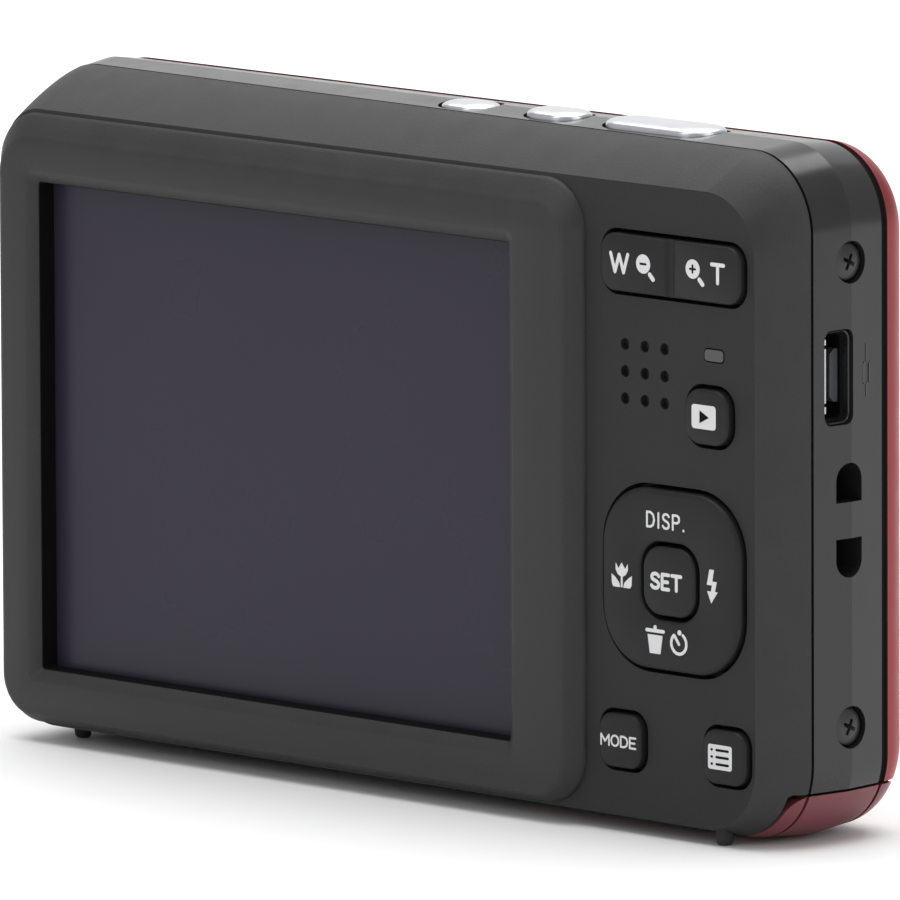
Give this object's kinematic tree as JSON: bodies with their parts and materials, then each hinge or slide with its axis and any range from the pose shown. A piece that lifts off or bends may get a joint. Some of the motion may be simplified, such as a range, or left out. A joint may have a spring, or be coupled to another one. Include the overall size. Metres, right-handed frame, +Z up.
{
  "type": "compact digital camera",
  "caption": "Slim compact digital camera with rear screen, rocker and keys, top buttons, two-stage telescoping lens and a sliding, hinged battery door.",
  "frame": {"origin": "Middle of the bounding box's base, on the plane that the feet stand on", "axes": "+X points away from the grip, along the camera's width; -Y is the way the lens looks and +Y the way the screen faces; +Z is up, towards the shutter button's side"},
  "size_m": [0.0922, 0.023, 0.0582],
  "materials": {
    "soft_black": "matte",
    "gloss_black": "gloss",
    "red_paint": "satin",
    "silver": "satin",
    "steel": "satin",
    "black_steel": "satin",
    "brass": "satin",
    "rubber": "matte",
    "screen": "gloss",
    "lens_glass": "gloss",
    "clear": "gloss",
    "board": "satin",
    "pack": "satin"
  },
  "bodies": {
    "camera_body": {"rear_cover": "soft_black", "mid_frame": "gloss_black", "lens_surround": "gloss_black", "front_cover": "red_paint", "flash_reflector": "silver", "screen_bracket": "steel", "usb_shell": "steel", "usb_tongue": "steel", "zoom_motor": "steel", "card_slot": "steel", "microphone": "steel", "screw_grip_lower": "black_steel", "screw_grip_upper": "black_steel", "screw_far_lower": "black_steel", "screw_far_upper": "black_steel", "speaker": "black_steel", "tripod_bush": "brass", "battery_contacts": "brass", "foot_rear_far": "rubber", "foot_rear_grip": "rubber", "foot_front_far": "rubber", "foot_front_grip": "rubber", "key_rubber": "rubber", "screen_window": "screen", "indicator_light": "clear", "flash_window": "clear", "flash_tube": "clear", "focus_lamp_lens": "clear", "key_board": "board", "top_board": "board", "main_board": "board", "image_sensor": "board", "screen_panel": "pack", "flash_capacitor": "pack", "lens_base": "pack", "battery_holder": "pack", "battery_pack": "pack", "memory_card": "pack"},
    "zoom_rocker": {"zoom_rocker": "soft_black"},
    "play_button": {"play_button": "soft_black"},
    "set_button": {"set_button": "soft_black"},
    "mode_button": {"mode_button": "soft_black"},
    "menu_button": {"menu_button": "soft_black"},
    "pad_gimbal": {"pad_gimbal": "steel"},
    "four_way_pad": {"four_way_pad": "soft_black"},
    "power_button": {"power_button": "silver"},
    "video_button": {"video_button": "silver"},
    "shutter_button": {"shutter_button": "silver"},
    "cam_ring": {"cam_ring": "black_steel"},
    "outer_barrel": {"outer_barrel": "silver"},
    "inner_barrel": {"inner_barrel": "silver", "lens_cell": "pack", "front_element": "lens_glass", "rear_element": "lens_glass"},
    "cover_blade_upper": {"cover_blade_upper": "black_steel"},
    "cover_blade_lower": {"cover_blade_lower": "black_steel"},
    "zoom_gear": {"zoom_gear": "clear"},
    "door_carrier": {"door_carrier": "steel", "hinge_pin": "steel"},
    "battery_door": {"battery_door": "red_paint"}
  },
  "joints": [
    {"name": "rocker_tip", "type": "hinge", "parent": "camera_body", "child": "zoom_rocker", "pos_m": [-0.034, 0.0079, 0.04755], "axis": [0, 0, 1], "range_deg": [-3, 3], "stiffness_Nm_per_rad": 0.02},
    {"name": "play_press", "type": "slide", "parent": "camera_body", "child": "play_button", "axis": [0, -1, 0], "range_m": [0, 0.0004], "stiffness_N_per_m": 400},
    {"name": "set_press", "type": "slide", "parent": "camera_body", "child": "set_button", "axis": [0, -1, 0], "range_m": [0, 0.0004], "stiffness_N_per_m": 400},
    {"name": "mode_press", "type": "slide", "parent": "camera_body", "child": "mode_button", "axis": [0, -1, 0], "range_m": [0, 0.0004], "stiffness_N_per_m": 400},
    {"name": "menu_press", "type": "slide", "parent": "camera_body", "child": "menu_button", "axis": [0, -1, 0], "range_m": [0, 0.0004], "stiffness_N_per_m": 400},
    {"name": "pad_up_down", "type": "hinge", "parent": "camera_body", "child": "pad_gimbal", "pos_m": [-0.034, 0.0079, 0.02165], "axis": [1, 0, 0], "range_deg": [-2, 2], "stiffness_Nm_per_rad": 0.02},
    {"name": "pad_left_right", "type": "hinge", "parent": "pad_gimbal", "child": "four_way_pad", "pos_m": [-0.034, 0.0079, 0.02165], "axis": [0, 0, 1], "range_deg": [-2, 2], "stiffness_Nm_per_rad": 0.02},
    {"name": "power_press", "type": "slide", "parent": "camera_body", "child": "power_button", "axis": [0, 0, -1], "range_m": [0, 0.0004], "stiffness_N_per_m": 400},
    {"name": "video_press", "type": "slide", "parent": "camera_body", "child": "video_button", "axis": [0, 0, -1], "range_m": [0, 0.0005], "stiffness_N_per_m": 400},
    {"name": "shutter_press", "type": "slide", "parent": "camera_body", "child": "shutter_button", "axis": [0, 0, -1], "range_m": [0, 0.0008], "stiffness_N_per_m": 400},
    {"name": "cam_turn", "type": "hinge", "parent": "camera_body", "child": "cam_ring", "pos_m": [0.012, 0, 0.0285], "axis": [0, 1, 0], "range_deg": [0, 75]},
    {"name": "outer_barrel_out", "type": "slide", "parent": "camera_body", "child": "outer_barrel", "axis": [0, -1, 0], "range_m": [0, 0.00901]},
    {"name": "inner_barrel_out", "type": "slide", "parent": "outer_barrel", "child": "inner_barrel", "axis": [0, -1, 0], "range_m": [0, 0.00701]},
    {"name": "blade_upper_turn", "type": "hinge", "parent": "inner_barrel", "child": "cover_blade_upper", "pos_m": [0.023, -0.0095, 0.0285], "axis": [0, 1, 0], "range_deg": [0, 36.1]},
    {"name": "blade_lower_turn", "type": "hinge", "parent": "inner_barrel", "child": "cover_blade_lower", "pos_m": [0.001, -0.0095, 0.0285], "axis": [0, 1, 0], "range_deg": [0, 36.1]},
    {"name": "zoom_gear_turn", "type": "hinge", "parent": "camera_body", "child": "zoom_gear", "pos_m": [0.03291, 0.0016, 0.01642], "axis": [0, 1, 0], "range_deg": [-300.5, 0.5]},
    {"name": "door_slide", "type": "slide", "parent": "camera_body", "child": "door_carrier", "axis": [-1, 0, 0], "range_m": [0, 0.0035]},
    {"name": "door_swing", "type": "hinge", "parent": "door_carrier", "child": "battery_door", "pos_m": [-0.04323, 0.001, 0.0035], "axis": [0, 1, 0], "range_deg": [0, 75]}
  ],
  "couplings": [
    {"joint": "outer_barrel_out", "follows": "cam_turn", "m_per_rad": 0.0068755},
    {"joint": "inner_barrel_out", "follows": "cam_turn", "m_per_rad": 0.0053476},
    {"joint": "blade_upper_turn", "follows": "cam_turn", "ratio": 0.48},
    {"joint": "blade_lower_turn", "follows": "cam_turn", "ratio": 0.48},
    {"joint": "zoom_gear_turn", "follows": "cam_turn", "ratio": -4}
  ]
}
